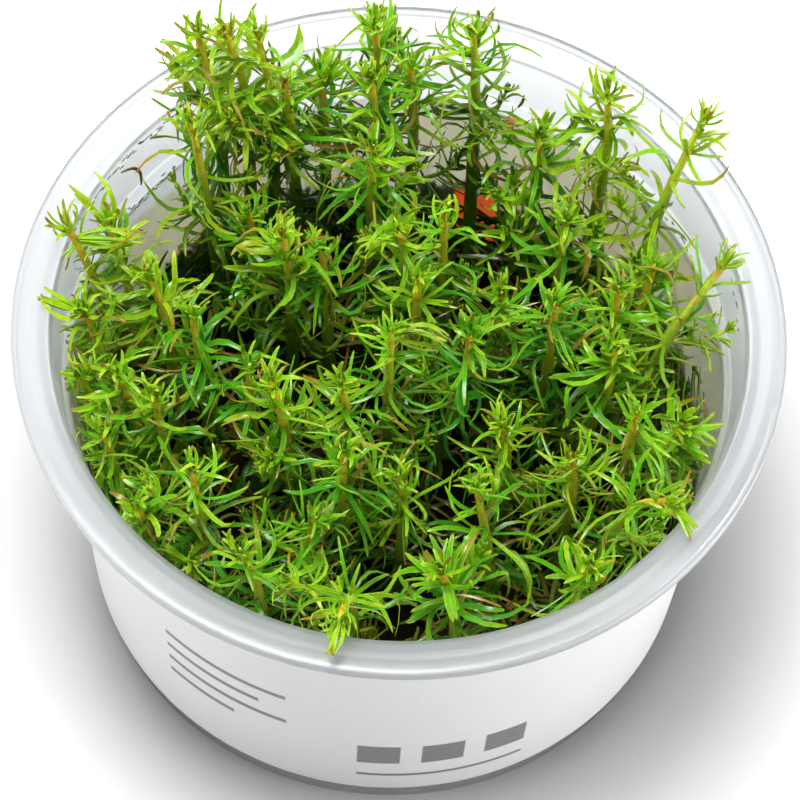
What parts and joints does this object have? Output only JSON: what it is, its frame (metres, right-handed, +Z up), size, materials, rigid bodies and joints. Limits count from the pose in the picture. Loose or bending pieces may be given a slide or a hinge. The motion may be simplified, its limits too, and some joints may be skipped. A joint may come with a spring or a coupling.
{
  "type": "potted whorled rotala plant",
  "caption": "Tuft of a whorled, needle-leaved aquarium stem plant, growing in gel in a clear flanged plastic cup with a plain label band.",
  "frame": {"origin": "centre of the cup's base, on the surface it stands on", "axes": "+Z up through the mouth of the cup, -Y towards the viewer of the picture"},
  "size_m": [0.1, 0.1, 0.0774],
  "materials": {
    "clear_plastic": "clear moulded plastic, slightly milky",
    "label_film": "satin printed film with plain grey marks",
    "gel": "soft set gel, wet",
    "leaf": "living leaf, satin and slightly see-through"
  },
  "bodies": {
    "root": {"cup": "clear_plastic", "label": "label_film", "growing_gel": "gel", "shoot_back_left_1": "leaf", "shoot_back_left_2": "leaf", "shoot_back_left_3": "leaf", "shoot_back_left_4": "leaf", "shoot_back_left_5": "leaf", "shoot_back_left_6": "leaf", "shoot_back_1": "leaf", "shoot_back_2": "leaf", "shoot_back_3": "leaf", "shoot_back_4": "leaf", "shoot_back_5": "leaf", "shoot_back_6": "leaf", "shoot_back_right_1": "leaf", "shoot_back_right_2": "leaf", "shoot_back_right_3": "leaf", "shoot_back_right_4": "leaf", "shoot_left_1": "leaf", "shoot_left_2": "leaf", "shoot_left_3": "leaf", "shoot_left_4": "leaf", "shoot_left_5": "leaf", "shoot_left_6": "leaf", "shoot_left_7": "leaf", "shoot_left_8": "leaf", "shoot_left_9": "leaf", "shoot_left_10": "leaf", "shoot_centre_1": "leaf", "shoot_centre_2": "leaf", "shoot_centre_3": "leaf", "shoot_centre_4": "leaf", "shoot_centre_5": "leaf", "shoot_centre_6": "leaf", "shoot_centre_7": "leaf", "shoot_centre_8": "leaf", "shoot_centre_9": "leaf", "shoot_centre_10": "leaf", "shoot_centre_11": "leaf", "shoot_centre_12": "leaf", "shoot_centre_13": "leaf", "shoot_centre_14": "leaf", "shoot_centre_15": "leaf", "shoot_right_1": "leaf", "shoot_right_2": "leaf", "shoot_right_3": "leaf", "shoot_right_4": "leaf", "shoot_right_5": "leaf", "shoot_right_6": "leaf", "shoot_right_7": "leaf", "shoot_front_1": "leaf", "shoot_front_2": "leaf", "shoot_front_3": "leaf", "shoot_front_4": "leaf", "shoot_front_5": "leaf", "shoot_front_6": "leaf", "shoot_front_7": "leaf", "shoot_front_8": "leaf"}
  },
  "joints": []
}
